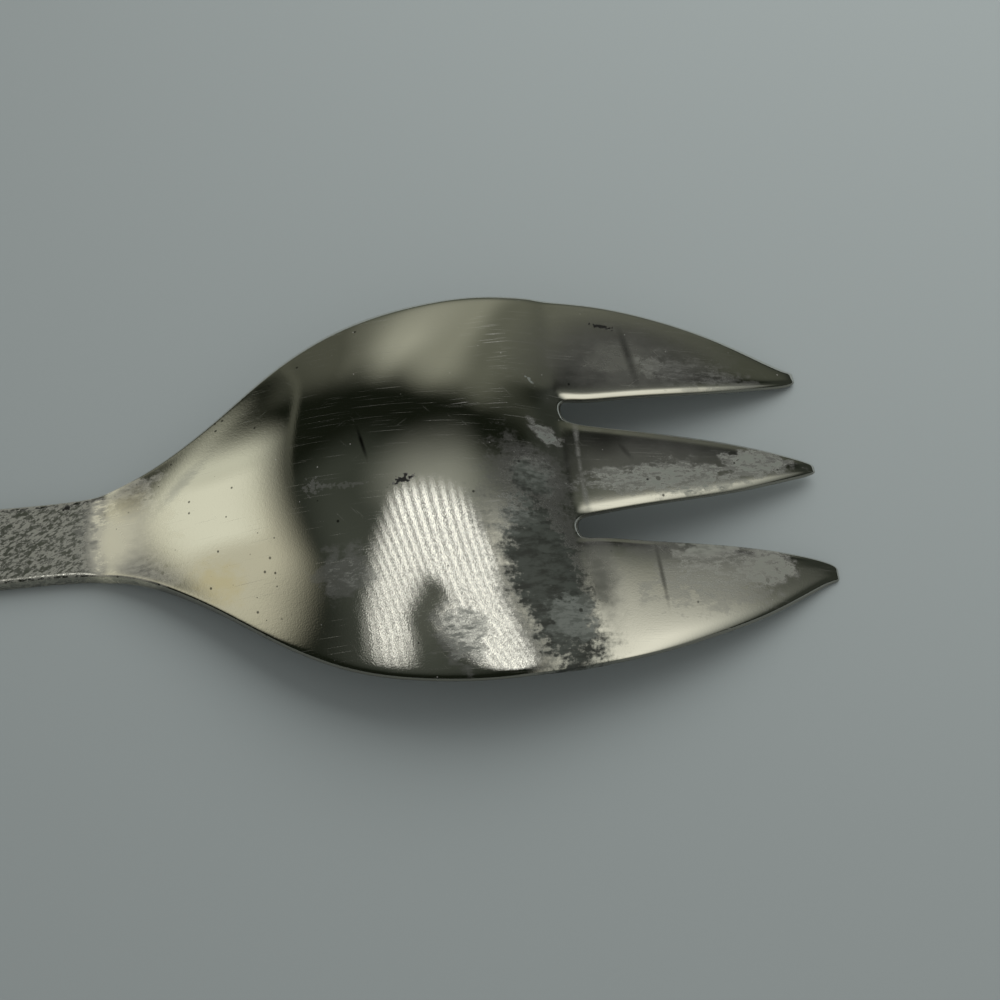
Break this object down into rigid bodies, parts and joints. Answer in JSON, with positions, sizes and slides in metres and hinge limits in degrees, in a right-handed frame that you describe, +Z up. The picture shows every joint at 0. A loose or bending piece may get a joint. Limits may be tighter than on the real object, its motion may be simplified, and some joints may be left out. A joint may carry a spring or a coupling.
{
  "type": "serving fork",
  "caption": "Plated serving fork: a plain flat handle, a domed oval bowl and broad pointed tines cut into its front, lying face down on its tips.",
  "frame": {"origin": "on the table, under the middle of the fork's length", "axes": "+X along the fork towards the tips of the tines, +Z up, out of the back of the bowl"},
  "size_m": [0.2159, 0.0516, 0.0151],
  "materials": {
    "silver_plate": "polished silver plate, worn and tarnished, with dull patches and fine scratches"
  },
  "bodies": {
    "root": {"serving_fork": "silver_plate"}
  },
  "joints": []
}
